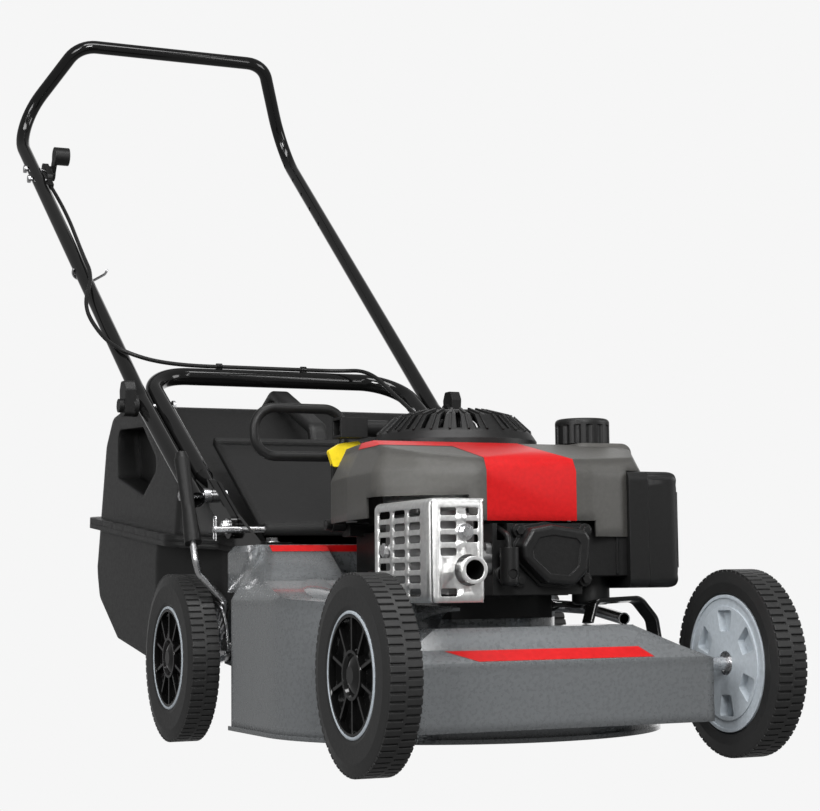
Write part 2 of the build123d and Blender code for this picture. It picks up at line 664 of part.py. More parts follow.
# Engine

def fins():
    shape = rod_y(-8, 60, 190, 217, 36)
    for i in range(9):
        y = 66 + 9.5 * i
        shape = shape + box(-58, 44, y, y + 3.4, 177, 258)
    return shape


def engine_block():
    case = rod_z(0, CRANK_Y, ENGINE_BASE + 0.1, 208, CASE_RADIUS)
    case = fillet(case.edges().group_by(Axis.Z)[-1], 12)
    foot = rod_z(0, CRANK_Y, ENGINE_BASE + 0.1, ENGINE_BASE + 10, CASE_RADIUS + 3)
    neck = rod_z(0, CRANK_Y, 200, 268, 62)
    pad = box(-62, 62, 140, CRANK_Y, ENGINE_BASE + 0.1, 200)
    head = box(-60, 46, 38, 62, 178, COVER_BOTTOM - 8.3)
    arm = box(62, 104, 296, 336, 200, 224)
    head = head - box(PLUG_X - 6, PLUG_X + 6, 30, 64, PLUG_Z + 36, 270)
    shape = case + foot + neck + pad + fins() + head + arm
    shape = shape - rod_z(0, CRANK_Y, 100, 400, SHAFT_RADIUS + 0.06)
    for x in (-1, 1):
        for y in (-1, 1):
            shape = shape - rod_z(72 * x, CRANK_Y + 72 * y, 100, 176, 4.05)
    return shape


ENGINE_BOLT = extrude(Plane.XY.offset(ENGINE_BASE - 9.4) * RegularPolygon(7.5, 6), 6.2)
ENGINE_BOLT = ENGINE_BOLT + rod_z(0, 0, ENGINE_BASE - 12, 170, 4)
FRAME_BOLTS = FRAME_BOLTS + [Pos(72 * x, CRANK_Y + 72 * y, 0) * ENGINE_BOLT for x in (-1, 1) for y in (-1, 1)]


ROCKER = [(-36, 230), (-24, 248), (0, 252), (40, 246), (46, 238), (42, 202), (26, 187), (-6, 190), (-34, 216)]


def rocker_cover():
    body = plate_y(ROCKER, 15, 37.9, 7)
    body = fillet(body.faces().sort_by(Axis.Y)[0].edges(), 5)
    middle = (4.0, 219.0)
    wide = [(middle[0] + 1.08 * (x - middle[0]), middle[1] + 1.1 * (z - middle[1])) for x, z in ROCKER]
    small = [(middle[0] + 0.7 * (x - middle[0]), middle[1] + 0.66 * (z - middle[1])) for x, z in ROCKER]
    return body + plate_y(wide, 33, 37.9, 7) - plate_y(small, 13, 16.6, 4)


keep("rocker_cover", rocker_cover())


OUTLET = (-128.0, 204.0)


def muffler_body():
    x0, x1, y0, y1, z0, z1 = MUFFLER
    shape = box(x0 + 9, x1 - 9, y0 + 12, y1 - 9, z0 + 10, z1 - 12)
    shape = fillet(shape.edges().filter_by(Axis.Y), 14)
    shape = shape + rod_x(x1 - 20, -60.1, 50, 217, 11)
    shape = shape + plate_x([(40, 200), (64, 200), (64, 234), (40, 234)], -66, -60.1, 6)
    for y in (10, 64):
        shape = shape + rod_z(x0 + 31, y, z1 - 20, z1 - GUARD_SHEET - 0.05, 6)
    spout = rod_y(OUTLET[0], y0 - 14, y0 + 13, OUTLET[1], EXHAUST_RADIUS)
    flare = rod_y(OUTLET[0], y0 - 14, y0 - 10, OUTLET[1], EXHAUST_RADIUS + 2)
    return shape + spout + flare - rod_y(OUTLET[0], y0 - 20, y0 + 26, OUTLET[1], EXHAUST_RADIUS - 2)


def muffler_guard():
    x0, x1, y0, y1, z0, z1 = MUFFLER
    s = GUARD_SHEET
    shape = box(x0, x1, y0, y1, z0, z1)
    shape = fillet(shape.edges().filter_by(Axis.Z).sort_by(Axis.Y)[:2], 8)
    shape = shape - box(x0 + s, x1 + 9, y0 + s, y1 + 9, z0 - 9, z1 - s)
    for row in range(7):
        z = z0 + 12 + 13.4 * row
        for col in range(3):
            y = y0 + 28 + 39 * col
            shape = shape - strap_x((y, z), (y + 24, z), 8, x0 - 5, x0 + 9)
        for left, right in ((x0 + 11, x0 + 29), (x0 + 39, x0 + 53)):
            if math.dist(((left + right) / 2, z), OUTLET) > 25:
                slot = [(left, z - 4), (right, z - 4), (right, z + 4), (left, z + 4)]
                shape = shape - plate_y(slot, y0 - 5, y0 + 5, 2)
    shape = shape - rod_y(OUTLET[0], y0 - 5, y0 + 5, OUTLET[1], EXHAUST_RADIUS + 4)
    tab = box(x1 - 4, -62, y1 - 40, y1 - 20, z1 - s, z1) - rod_z(-74, y1 - 30, z1 - 9, z1 + 9, 3.5)
    return shape + tab


keep("muffler_body", muffler_body())
keep("muffler_guard", muffler_guard())

# Blower cover, dome, tank and cap
COVER_PLAN = [(-76, 40), (60, 40), (132, 58), (172, 120), (180, 200), (168, 285), (110, 345), (20, 366), (-80, 356),
              (-142, 300), (-160, 200), (-167, 104), (-132, 66)]


def cover_form(t):
    plan = fillet(Polygon(*COVER_PLAN, align=None).vertices(), 27)
    if t:
        plan = offset(plan, -t)
    low = COVER_BOTTOM - (40 if t else 22)
    waist = COVER_TOP - 26
    tall = extrude(Plane.XY.offset(low) * plan, waist - low, dir=(0, 0, 1))
    crown = extrude(Plane.XY.offset(waist) * plan, 46, dir=(0, 0, 1), taper=26)
    top = plate_x([(0, low), (0, COVER_TOP - 18 - t), (40, COVER_TOP - 14 - t), (158, COVER_TOP + 12 - t),
                   (400, COVER_TOP + 12 - t), (400, low)], -250, 250)
    return (tall + crown) & top


TANK = (104.0, 178.0, 148.0, 266.0)


def blower_cover():
    shape = cover_form(0) - cover_form(2.5)
    shape = shape - box(-250, -84, 0, 130, 200, COVER_BOTTOM + 22) - box(-84, 66, 0, 130, 200, COVER_BOTTOM - 5)
    shape = shape - box(-250, 250, 130, 400, 200, COVER_BOTTOM)
    shape = shape - box(-130, -80, CONTROL_Y - 13, CONTROL_Y + 13, 200, CONTROL_Z + 5)
    shape = shape - rod_z(0, CRANK_Y, 300, 400, DOME_RADIUS - 10)
    shape = shape - box(111.6, 260, 0, 132.6, 200, 312.6)
    return shape - box(TANK[0] - 0.3, 300, TANK[2] - 0.3, TANK[3] + 0.3, 264, 400)


keep("blower_cover", blower_cover())


def recoil_housing():
    low = COVER_TOP + 12.2
    r = DOME_RADIUS
    outer = [(0, low), (r, low), (r, low + 7), (r - 6, low + 16), (70, DOME_TOP - 8), (40, DOME_TOP), (0, DOME_TOP)]
    inner = [(0, low - 1), (r - 5, low - 1), (r - 5, low + 6), (r - 10, low + 13), (67, DOME_TOP - 11.5),
             (39, DOME_TOP - 3), (0, DOME_TOP - 3)]
    shape = revolve(Plane.XZ * outline(outer), Axis.Z) - revolve(Plane.XZ * outline(inner), Axis.Z)
    for i in range(26):
        if i not in (0, 1, 7, 8, 13, 20):
            slot = Rot(0, 0, 360 / 26 * i) * box(44, 88, -2.8, 2.8, low + 8.5, DOME_TOP + 20)
            shape = shape - slot
    shape = shape + rod_z(0, 0, DOME_TOP - 30, DOME_TOP - 2.5, 8)
    return Pos(0, CRANK_Y, 0) * shape


def rope_guide():
    # A square mouth for the starter grip on a round arm from the dome.
    y = CRANK_Y + 66
    z = 376
    shape = rod_x(-92, -58, y, z, 10) + box(-122, -88, y - 14, y + 14, z - 12, z + 12)
    shape = shape - box(-130, -92, y - 11, y + 11, z - 9, z + 9)
    return shape - box(-114, -93.5, y, y + 20, z - 2.8, z + 2.8)


keep("recoil_housing", recoil_housing() + rope_guide())


def fuel_tank():
    shape = box(TANK[0], TANK[1], TANK[2], TANK[3], 264, COVER_TOP + 15)
    shape = fillet(shape.edges(), 12)
    neck = rod_z(CAP_X, CAP_Y, COVER_TOP, COVER_TOP + 30, 20)
    return shape + neck - rod_z(CAP_X, CAP_Y, COVER_TOP - 20, COVER_TOP + 40, 16.5)


keep("fuel_tank", fuel_tank())


def fuel_cap():
    low = COVER_TOP + 16
    shape = rod_z(0, 0, low, low + 30, CAP_RADIUS)
    shape = fillet(shape.edges().group_by(Axis.Z)[-1], 5)
    for i in range(14):
        shape = shape - Rot(0, 0, 360 / 14 * i) * rod_z(CAP_RADIUS + 2.5, 0, low - 1, low + 22, 5)
    shape = shape - rod_z(0, 0, low - 1, low + 20, 20.5)
    return Pos(CAP_X, CAP_Y, 0) * shape


keep("fuel_cap", fuel_cap())


def cleaner_base():
    shape = fillet(box(112, 136, 48, 132, 184, 312).edges().filter_by(Axis.X), 10)
    return shape - box(116, 140, 54, 126, 192, 304)


def cleaner_cover():
    shape = fillet(box(136.5, 180, 48, 132, 184, 312).edges().filter_by(Axis.X), 10)
    shape = fillet(shape.faces().sort_by(Axis.X)[-1].edges(), 8)
    shape = shape - box(130, 176, 52, 128, 190, 306)
    for i in range(4):
        shape = shape + box(176, 182, 62 + 16 * i, 66 + 16 * i, 206, 290)
    return shape


keep("air_cleaner_base", cleaner_base())
keep("air_cleaner_cover", cleaner_cover())


def carburettor():
    shape = rod_x(44.1, 111.9, 100, 214, 15) + rod_z(90, 100, 166, 205, 21) + box(70, 104, 84, 116, 202, 232)
    shape = fillet(shape.edges().group_by(Axis.Z)[0], 5)
    return shape + rod_z(90, 100, 160, 168, 6)


keep("carburettor", carburettor())
keep("spark_plug", rod_y(PLUG_X, 33, 37.9, PLUG_Z, 9) + rod_y(PLUG_X, 14, 36, PLUG_Z, 5))


def plug_boot():
    shape = rod_z(PLUG_X, 22, PLUG_Z - 12, PLUG_Z + 28, 10)
    shape = fillet(shape.edges().group_by(Axis.Z)[0], 4)
    shape = shape - rod_y(PLUG_X, 10, 34, PLUG_Z, 5.06)
    lead = bar([(PLUG_X, 22, PLUG_Z + 20), (PLUG_X, 24, PLUG_Z + 40), (PLUG_X, 50, PLUG_Z + 49)], 3.5, 10)
    return shape + lead


keep("plug_lead", plug_boot())


def flywheel():
    shape = rod_z(0, CRANK_Y, 286, 306, 84) + rod_z(0, CRANK_Y, 272, 320, 24)
    for i in range(14):
        shape = shape + Pos(0, CRANK_Y, 0) * Rot(0, 0, 360 / 14 * i) * box(44, 80, -2, 2, 300, 322)
    return shape - rod_z(0, CRANK_Y, 200, 400, SHAFT_RADIUS + 0.02)


keep("flywheel", flywheel())
CRANK_HOLE = rod_z(0, CRANK_Y, 40, BLADE_Z + 21, 5.05)
keep("crankshaft", rod_z(0, CRANK_Y, BLADE_Z + 8, 330, SHAFT_RADIUS) - CRANK_HOLE)


TIP = [(-131, 349), (-116, 358), (-88, 362), (-94, 351), (-109, 331), (-125, 330)]
STRIP = box(-126, -112, CONTROL_Y - 1.7, CONTROL_Y + 1.7, CONTROL_Z, 336)


def control_lever():
    # A flat strip with a bright tip beside the back corner of the cover.
    eye = rod_x(-127, -111, CONTROL_Y, CONTROL_Z, 8)
    return STRIP + eye - rod_x(-140, -100, CONTROL_Y, CONTROL_Z, 3.06)


def control_tip():
    return plate_y(TIP, CONTROL_Y - 4, CONTROL_Y + 4, 3) - box(-126.1, -111.9, CONTROL_Y - 1.8, CONTROL_Y + 1.8, 300, 336.1)


def control_pin():
    pin = rod_x(-134, -80, CONTROL_Y, CONTROL_Z, 3) + rod_x(-134, -128, CONTROL_Y, CONTROL_Z, 6)
    shelf = box(-108, -70, CONTROL_Y - 12, CONTROL_Y + 12, CONTROL_Z - 14, CONTROL_Z - 1)
    return pin + shelf + box(-90, -70, 290, CONTROL_Y + 12, 200, CONTROL_Z - 10)


keep("control_lever", control_lever(), control_tip())
keep("engine_block", engine_block() + control_pin())

# Starter grip and the cord that holds it
GRIP_Y = CRANK_Y + 130


def starter_grip():
    corners = [(-90, 404), (-84, 346), (-202, 346), (-202, 404)]
    path = FilletPolyline(*[(x, GRIP_Y, z) for x, z in corners], radius=26, close=True)
    loop = sweep(Plane(path @ 0, z_dir=path % 0) * Circle(6), path=path)
    return loop + Pos(-88, GRIP_Y, 376) * Sphere(10) - rod_y(-88, GRIP_Y - 30, GRIP_Y - 2, 376, 2.6)


keep("starter_grip", starter_grip())
keep("starter_cord", bar([(-106, CRANK_Y + 68, 376), (-88, GRIP_Y - 36, 376), (-88, GRIP_Y - 2.2, 376)], 2.4, 8))

# Cutter
BLADE_DISC = rod_z(0, CRANK_Y, BLADE_Z + 4, BLADE_Z + 8, DISC_PLATE) + rod_z(0, CRANK_Y, BLADE_Z + 8, BLADE_Z + 50, 26)
BLADE_DISC = BLADE_DISC - rod_z(0, CRANK_Y, BLADE_Z + 7.9, 200, SHAFT_RADIUS + 0.02)
keep("blade_disc", BLADE_DISC - rod_z(0, CRANK_Y, 0, 200, 5.1))
BLADE_BOLTS = [Pos(0, CRANK_Y, 0) * (rod_z(0, 0, BLADE_Z + 2.2, BLADE_Z + 20, 5)
                                   + extrude(Plane.XY.offset(BLADE_Z - 5) * RegularPolygon(11, 6), 8.9))]
for i in range(BLADES):
    a = math.radians(360 / BLADES * i + 45)
    x = BLADE_PIVOT * math.cos(a)
    y = CRANK_Y + BLADE_PIVOT * math.sin(a)
    turn = 360 / BLADES * i + 45
    length = BLADE_REACH - BLADE_PIVOT
    plan = [(-18, -22), (length - 6, -22), (length, -12), (length, 22), (-18, 22)]
    form = plate_z(plan, BLADE_Z - 1, BLADE_Z + 2.4, 4)
    form = form - rod_z(0, 0, 0, 100, 5.08)
    keep("blade_" + str(i + 1), Pos(x, y, 0) * Rot(0, 0, turn) * form)
    bolt = rod_z(0, 0, BLADE_Z - 7, BLADE_Z + 18, 5)
    bolt = bolt + extrude(Plane.XY.offset(BLADE_Z - 7) * RegularPolygon(9, 6), 5.4)
    bolt = bolt + extrude(Plane.XY.offset(BLADE_Z + 8.1) * RegularPolygon(9, 6), 7)
    BLADE_BOLTS.append(Pos(x, y, 0) * bolt)
    keep("blade_disc", NODES["blade_disc"][0] - rod_z(x, y, 0, 100, 5.06))
keep("blade_bolts", *BLADE_BOLTS)

# Front stay and drain tube
STAY = [(52, 38, 147.5), (60, 40, 170), (118, 48, 172), (137, 48, 150), (141, 46, 118.6)]


def front_stay():
    path = FilletPolyline(*STAY, radius=[8, 14, 14])
    frame = Plane(path @ 0, x_dir=(0, 1, 0), z_dir=path % 0)
    return sweep(frame * RectangleRounded(20, 5, 2), path=path)


keep("front_stay", front_stay())
DRAIN = [(123, 84, 150), (128, 172, 161), (84, 214, 166)]
keep("drain_tube", pipe(DRAIN, 7, 22, 1.4) - NODES["engine_block"][0])


# Catcher

def seam(y):
    return SEAM_FRONT + (SEAM_REAR - SEAM_FRONT) * (y - CATCH_FRONT) / (CATCH_REAR - CATCH_FRONT)


LOWER_PLAN = [(-172, CATCH_FRONT), (172, CATCH_FRONT), (172, 600), (204, 668), (CATCH_HALF, 724),
              (CATCH_HALF, CATCH_REAR), (-CATCH_HALF, CATCH_REAR), (-CATCH_HALF, 724), (-204, 668), (-172, 600)]
UPPER_PLAN = [(-172, CATCH_FRONT), (172, CATCH_FRONT), (172, 588), (CATCH_HALF, 640), (CATCH_HALF, CATCH_REAR),
              (-CATCH_HALF, CATCH_REAR), (-CATCH_HALF, 640), (-172, 588)]
LOWER_SIDE = [(CATCH_FRONT, seam(CATCH_FRONT)), (CATCH_FRONT, 152), (620, 138), (770, CATCH_FLOOR),
              (919, CATCH_FLOOR + 22), (1020, CATCH_FLOOR + 80), (CATCH_REAR, seam(CATCH_REAR))]
UPPER_SIDE = [(CATCH_FRONT, seam(CATCH_FRONT)), (CATCH_FRONT, seam(CATCH_FRONT) + 4), (858, CATCH_TOP - 4),
              (930, CATCH_TOP), (1006, CATCH_TOP - 10), (1042, CATCH_TOP - 64), (CATCH_REAR, seam(CATCH_REAR))]


def rounded_plan(points, t):
    face = outline(points)
    back = [v for v in face.vertices() if v.Y > CATCH_REAR - 1]
    face = fillet(back, 34)
    bends = [v for v in face.vertices() if 560 < v.Y < 760]
    face = fillet(bends, 24)
    return offset(face, -t) if t else face


def rounded_side(points, t):
    face = outline(points)
    face = fillet([v for v in face.vertices() if abs(v.Y - seam(v.X)) > 6], 22)
    return offset(face, -t) if t else face


def catch_form(plan, side, t):
    face = rounded_plan(plan, t)
    tall = extrude(Plane.XY.offset(50) * face, 175, dir=(0, 0, 1))
    tall = tall + extrude(Plane.XY.offset(225) * face, 245, dir=(0, 0, 1), taper=CATCH_DRAFT)
    wide = extrude(Plane.YZ.offset(-300) * rounded_side(side, t), 600, dir=(1, 0, 0))
    return tall & wide


TILT = math.degrees(math.atan2(SEAM_REAR - SEAM_FRONT, CATCH_REAR - CATCH_FRONT))


def flange(low, high):
    outer = offset(rounded_plan(UPPER_PLAN, 0), FLANGE)
    inner = rounded_plan(UPPER_PLAN, 16)
    ring = extrude(Plane.XY.offset(low) * outer, high - low, dir=(0, 0, 1))
    ring = ring - extrude(Plane.XY.offset(low - 1) * inner, 40, dir=(0, 0, 1))
    return Pos(0, 0, SEAM_FRONT) * Pos(0, CATCH_FRONT, 0) * Rot(TILT, 0, 0) * Pos(0, -CATCH_FRONT, 0) * ring


MOUTH = box(-MOUTH_HALF + 4, MOUTH_HALF - 4, CATCH_FRONT - 40, CATCH_FRONT + 30, 166, 300)


def open_seam(side):
    # The room inside a shell, carried through the seam so that the halves join as one space.
    lift = [(y, z + (30 if side is LOWER_SIDE else -30)) if abs(z - seam(y)) < 1 else (y, z) for y, z in side]
    return lift


def catcher_lower():
    shape = catch_form(LOWER_PLAN, LOWER_SIDE, 0) - catch_form(LOWER_PLAN, open_seam(LOWER_SIDE), CATCH_WALL)
    shape = shape + (flange(-7, -0.1) - catch_form(UPPER_PLAN, open_seam(LOWER_SIDE), CATCH_WALL))
    return shape - MOUTH


SCOOP = [(972, 422), (838, 416), (764, 370), (754, 350), (812, 318), (952, 350)]
SCOOP_DEPTH = 44.0


def scoop(t):
    # The hand hollow in each side of the upper shell, grown by t for its wall.
    face = outline(SCOOP, 12)
    if t:
        face = offset(face, t)
    start = CATCH_HALF - SCOOP_DEPTH - t
    hollow = extrude(Plane.YZ.offset(start) * face, SCOOP_DEPTH + 40, dir=(1, 0, 0))
    return hollow + flip(hollow)


def catcher_upper():
    outer = catch_form(UPPER_PLAN, UPPER_SIDE, 0) - scoop(0)
    room = catch_form(UPPER_PLAN, open_seam(UPPER_SIDE), CATCH_WALL)
    shape = outer - (room - scoop(CATCH_WALL))
    shape = shape + (flange(0.1, 8) - room)
    place = Pos(0, 0, SEAM_FRONT) * Pos(0, CATCH_FRONT, 0) * Rot(TILT, 0, 0) * Pos(0, -CATCH_FRONT, 0)
    for i in range(7):
        y = 668 + 58 * i
        for x in (-CATCH_HALF - 6, CATCH_HALF + 6):
            shape = shape - place * box(x - 4, x + 4, y, y + 9, -0.5, 9)
    runner = place * box(182, 186.1, CATCH_FRONT - 11, CATCH_FRONT + 3, 0.6, 7.4)
    return shape + runner + flip(runner) - MOUTH


keep("catcher_lower", catcher_lower())


def catcher_handle():
    points = [(0, 696, 350), (0, 716, 408), (0, 872, 470), (0, 914, 450)]
    path = FilletPolyline(*points, radius=[18, 24])
    frame = Plane(path @ 0, x_dir=(1, 0, 0), z_dir=path % 0)
    return sweep(frame * RectangleRounded(26, 15, 4), path=path)


keep("catcher_upper", catcher_upper() + catcher_handle())


# Discharge flap

def flap():
    panel = box(-166, 166, 4, 224, 2.2, 5)
    panel = panel + box(-166, 166, 214, 224, 2.2, 9)
    for x in (-166, 162):
        panel = panel + box(x, x + 4, 6, 224, -1.5, 5)
    barrel = rod_x(-160, 160, 0, 0, 7.5)
    shape = panel + barrel + box(-160, 160, 0, 8, 0, 5)
    shape = shape - rod_x(-200, 200, 0, 0, 4.06)
    return Pos(0, FLAP_PIVOT[0], FLAP_PIVOT[1]) * Rot(math.degrees(LEG_SLOPE) + 2, 0, 0) * shape


keep("discharge_flap", flap())
PIN = rod_x(-226, 196, FLAP_PIVOT[0], FLAP_PIVOT[1], 4) + rod_x(190.8, 196, FLAP_PIVOT[0], FLAP_PIVOT[1], 7)
CLIP_Y, CLIP_Z = FLAP_PIVOT
CLIP = bar([(-222, CLIP_Y, CLIP_Z - 14), (-222, CLIP_Y, CLIP_Z + 16), (-222, CLIP_Y + 9, CLIP_Z + 16),
            (-222, CLIP_Y + 9, CLIP_Z - 12)], 1.1, 3)
keep("frame_bolts", *FRAME_BOLTS, PIN - CLIP, CLIP)

print("nodes", len(NODES))
for name, solids in NODES.items():
    moved = [Pos(0, -ORIGIN_Y, 0) * s for s in solids]
    export_step(moved[0] if len(moved) == 1 else Compound(children=moved), "parts/" + name + ".step")
    print(name, len(moved))
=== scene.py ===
# %% [markdown]
# # A walk-behind mower, dressed for its portrait
# The machine's solids come in as a fixed frame of named pieces, each on the body that it
# moves with. This lesson adds a camera, light, finishes and small detail, one short cell
# at a time. Lengths in the lists below are millimetres from the front axle and the ground,
# because that is how such a machine is measured on a bench.

# %% Load the frame
import math

import bmesh
import bpy
from mathutils import Matrix, Vector


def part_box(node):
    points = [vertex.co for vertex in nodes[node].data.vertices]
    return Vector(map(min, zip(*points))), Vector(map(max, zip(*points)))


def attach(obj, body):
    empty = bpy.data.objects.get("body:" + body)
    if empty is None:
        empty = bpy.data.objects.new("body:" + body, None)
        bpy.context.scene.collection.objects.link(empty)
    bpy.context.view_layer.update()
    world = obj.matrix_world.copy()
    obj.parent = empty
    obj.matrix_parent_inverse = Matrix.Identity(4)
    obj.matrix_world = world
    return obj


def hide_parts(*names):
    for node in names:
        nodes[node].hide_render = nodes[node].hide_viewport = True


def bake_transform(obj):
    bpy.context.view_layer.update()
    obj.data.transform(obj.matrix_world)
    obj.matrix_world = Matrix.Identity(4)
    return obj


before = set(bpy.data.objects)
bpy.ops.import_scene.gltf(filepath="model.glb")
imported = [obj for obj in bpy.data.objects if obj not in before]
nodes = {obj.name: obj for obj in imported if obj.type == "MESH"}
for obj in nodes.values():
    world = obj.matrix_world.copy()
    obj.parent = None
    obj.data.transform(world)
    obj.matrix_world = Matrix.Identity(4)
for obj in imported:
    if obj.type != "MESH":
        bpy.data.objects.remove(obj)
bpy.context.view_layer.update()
scene = bpy.context.scene
FRONT_AXLE = -0.70725


def at(x, y, z):
    return Vector((x / 1000, y / 1000 + FRONT_AXLE, z / 1000))


# %% [markdown]
# A camera is a place, a direction and a lens. The direction could be set by a constraint
# that tracks a target, but yaw, pitch and roll say exactly how a photographer held the
# camera. The lens shift stands for a picture that was cropped off centre.

# %% Camera
YAW = math.radians(24.856)
PITCH = math.radians(5.519)
ROLL = math.radians(-0.716)
STAND = (-960.72, -1824.88, 186.55)


def aim(yaw, pitch, roll):
    forward = Vector((math.sin(yaw) * math.cos(pitch), math.cos(yaw) * math.cos(pitch), math.sin(pitch)))
    right = Vector((math.cos(yaw), -math.sin(yaw), 0))
    up = right.cross(forward)
    side = right * math.cos(roll) + up * math.sin(roll)
    top = up * math.cos(roll) - right * math.sin(roll)
    return Matrix((side, top, -forward)).transposed(), forward


facing, LOOK = aim(YAW, PITCH, ROLL)
lens = bpy.data.cameras.new("camera")
lens.sensor_width = 36
lens.lens = 86.11
lens.shift_x = -0.0588
lens.shift_y = -0.0089
lens.clip_end = 50
camera = bpy.data.objects.new("camera", lens)
scene.collection.objects.link(camera)
camera.matrix_world = Matrix.Translation(at(*STAND)) @ facing.to_4x4()
scene.camera = camera
print("camera stands", round(camera.location.length, 2), "m from the origin")

# %% [markdown]
# The throttle cable is a stiff sleeve that runs in long bends from the handle to the
# engine, and the starter rope is a short cord. A NURBS curve suits both: its control
# points are the route, and the smooth line runs inside their corners. The line is first
# read without thickness, as the cable's path, and then thickened to a tube. The upper
# cable crosses the folding joint of the handle.

# %% Cables
CABLE = 0.003
ROPE = 0.0024
UPPER_ROUTE = [(-223.4, 1360.1, 855.4), (-215.5, 1294.2, 806.4), (-226, 1132, 704), (-228, 1063.8, 661.2),
               (-255, 1013.5, 607.6), (-245.8, 949.4, 557.4), (-231.9, 887.2, 527.3), (-167, 887, 510.4),
               (-105, 891, 510.4)]
LOWER_ROUTE = [(-104.6, 891, 510.4), (43.4, 891, 510.4), (99, 891, 510.4), (133, 847, 508.4),
               (145, 771, 460.4), (145.9, 688.3, 422.7), (148.1, 499.1, 336.1), (149, 420, 300),
               (149.5, 384, 271.4), (150, 352, 246), (118, 330, 232), (84, 322, 228)]
ROPE_ROUTE = [(-106, 330, 376), (-97, 343, 376), (-88, 356, 376), (-88, 373, 376), (-88, 389.8, 376)]


def plain_mesh(obj):
    bpy.context.view_layer.update()
    graph = bpy.context.evaluated_depsgraph_get()
    return bpy.data.meshes.new_from_object(obj.evaluated_get(graph))


def spline(name, points, radius):
    data = bpy.data.curves.new(name, "CURVE")
    data.dimensions = "3D"
    data.resolution_u = 10
    line = data.splines.new("NURBS")
    line.points.add(len(points) - 1)
    for point, place in zip(line.points, points):
        point.co = (*at(*place), 1)
    line.order_u = 3
    line.use_endpoint_u = True
    curve = bpy.data.objects.new("route", data)
    scene.collection.objects.link(curve)
    bare = plain_mesh(curve)
    path = [v.co.copy() for v in bare.vertices]
    bpy.data.meshes.remove(bare)
    data.bevel_depth = radius
    data.bevel_resolution = 3
    data.use_fill_caps = True
    tube = bpy.data.objects.new(name, plain_mesh(curve))
    scene.collection.objects.link(tube)
    bpy.data.objects.remove(curve)
    tube.data.shade_smooth()
    return tube, path


cable_up, path = spline("throttle_cable_upper", UPPER_ROUTE, CABLE)
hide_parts("cable_upper")
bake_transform(cable_up)
cable_low, path = spline("throttle_cable_lower", LOWER_ROUTE, CABLE)
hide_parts("cable_lower")
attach(cable_low, "chassis")
rope, path = spline("starter_rope", ROPE_ROUTE, ROPE)
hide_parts("starter_cord")
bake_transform(rope)
print("cables:", cable_up.name, cable_low.name, rope.name)

# %% [markdown]
# The studio is pale where the backdrop hangs behind the machine and dimmer elsewhere, so
# that gloss paint has something dark to mirror. A backdrop could be a large white sheet,
# but the world does it with no extra object. The dot product of the ray and the looking
# direction tells the two parts apart, and a Map Range node sets their brightness.

# %% World
DIM = 0.24
PALE = 0.922
world = bpy.data.worlds.new("studio")
world.use_nodes = True
scene.world = world
tree = world.node_tree
tree.nodes.clear()
ray = tree.nodes.new("ShaderNodeTexCoord")
dot = tree.nodes.new("ShaderNodeVectorMath")
dot.operation = "DOT_PRODUCT"
dot.inputs[1].default_value = LOOK
ramp = tree.nodes.new("ShaderNodeMapRange")
ramp.inputs["From Min"].default_value = 0.8
ramp.inputs["From Max"].default_value = 0.93
ramp.inputs["To Min"].default_value = DIM
ramp.inputs["To Max"].default_value = PALE
sky = tree.nodes.new("ShaderNodeBackground")
out = tree.nodes.new("ShaderNodeOutputWorld")
tree.links.new(ray.outputs["Generated"], dot.inputs[0])
tree.links.new(dot.outputs["Value"], ramp.inputs["Value"])
tree.links.new(ramp.outputs["Result"], sky.inputs["Color"])
tree.links.new(sky.outputs["Background"], out.inputs["Surface"])
scene.view_settings.view_transform = "Standard"
print("world nodes:", len(tree.nodes))

# %% [markdown]
# Four broad lamps light the machine: overhead, left, front and right. The front one stands
# near the camera, so that flat front faces don't mirror it. Three narrow strips are there
# to be mirrored, as bright lines along tubes and edges. Area lamps are chosen over points
# because their size softens shadows. Each shines along its own -Z, so it is turned to
# face the middle of the machine.

# %% Lamps
MIDDLE = (0, -0.35, 0.25)


def lamp(name, place, width, height, watts):
    data = bpy.data.lights.new(name, "AREA")
    data.shape = "RECTANGLE"
    data.size = width
    data.size_y = height
    data.energy = watts
    obj = bpy.data.objects.new(name, data)
    scene.collection.objects.link(obj)
    obj.location = place
    obj.rotation_euler = (Vector(MIDDLE) - Vector(place)).to_track_quat("-Z", "Y").to_euler()


lamp("overhead", (-0.2, -0.9, 2.6), 1.8, 0.9, 40)
lamp("left", (-2.6, -1.9, 1.1), 1.2, 1.4, 40)
lamp("front", (-0.7, -3.3, 1.7), 1.0, 1.0, 70)
lamp("right", (2.7, -1.5, 1.2), 1.2, 1.4, 26)
lamp("strip_left", (-2.3, -2.4, 1.5), 0.12, 2.0, 12)
lamp("strip_top", (-1.3, -1.0, 2.5), 0.12, 2.2, 4)
lamp("strip_right", (1.3, -2.9, 1.7), 0.12, 2.0, 5)
print("lamps:", len(bpy.data.lights))

# %% [markdown]
# Every finish on the machine shares three things: edges that are a little round, a fine
# grain, and colour and roughness that drift from spot to spot, as hammered paint does.
# They could be built again in each material. One shader group with named inputs does it
# once. The Bevel node rounds only the shading, and the two noise textures read Object
# coordinates, so the pattern stays on a piece when the piece moves.

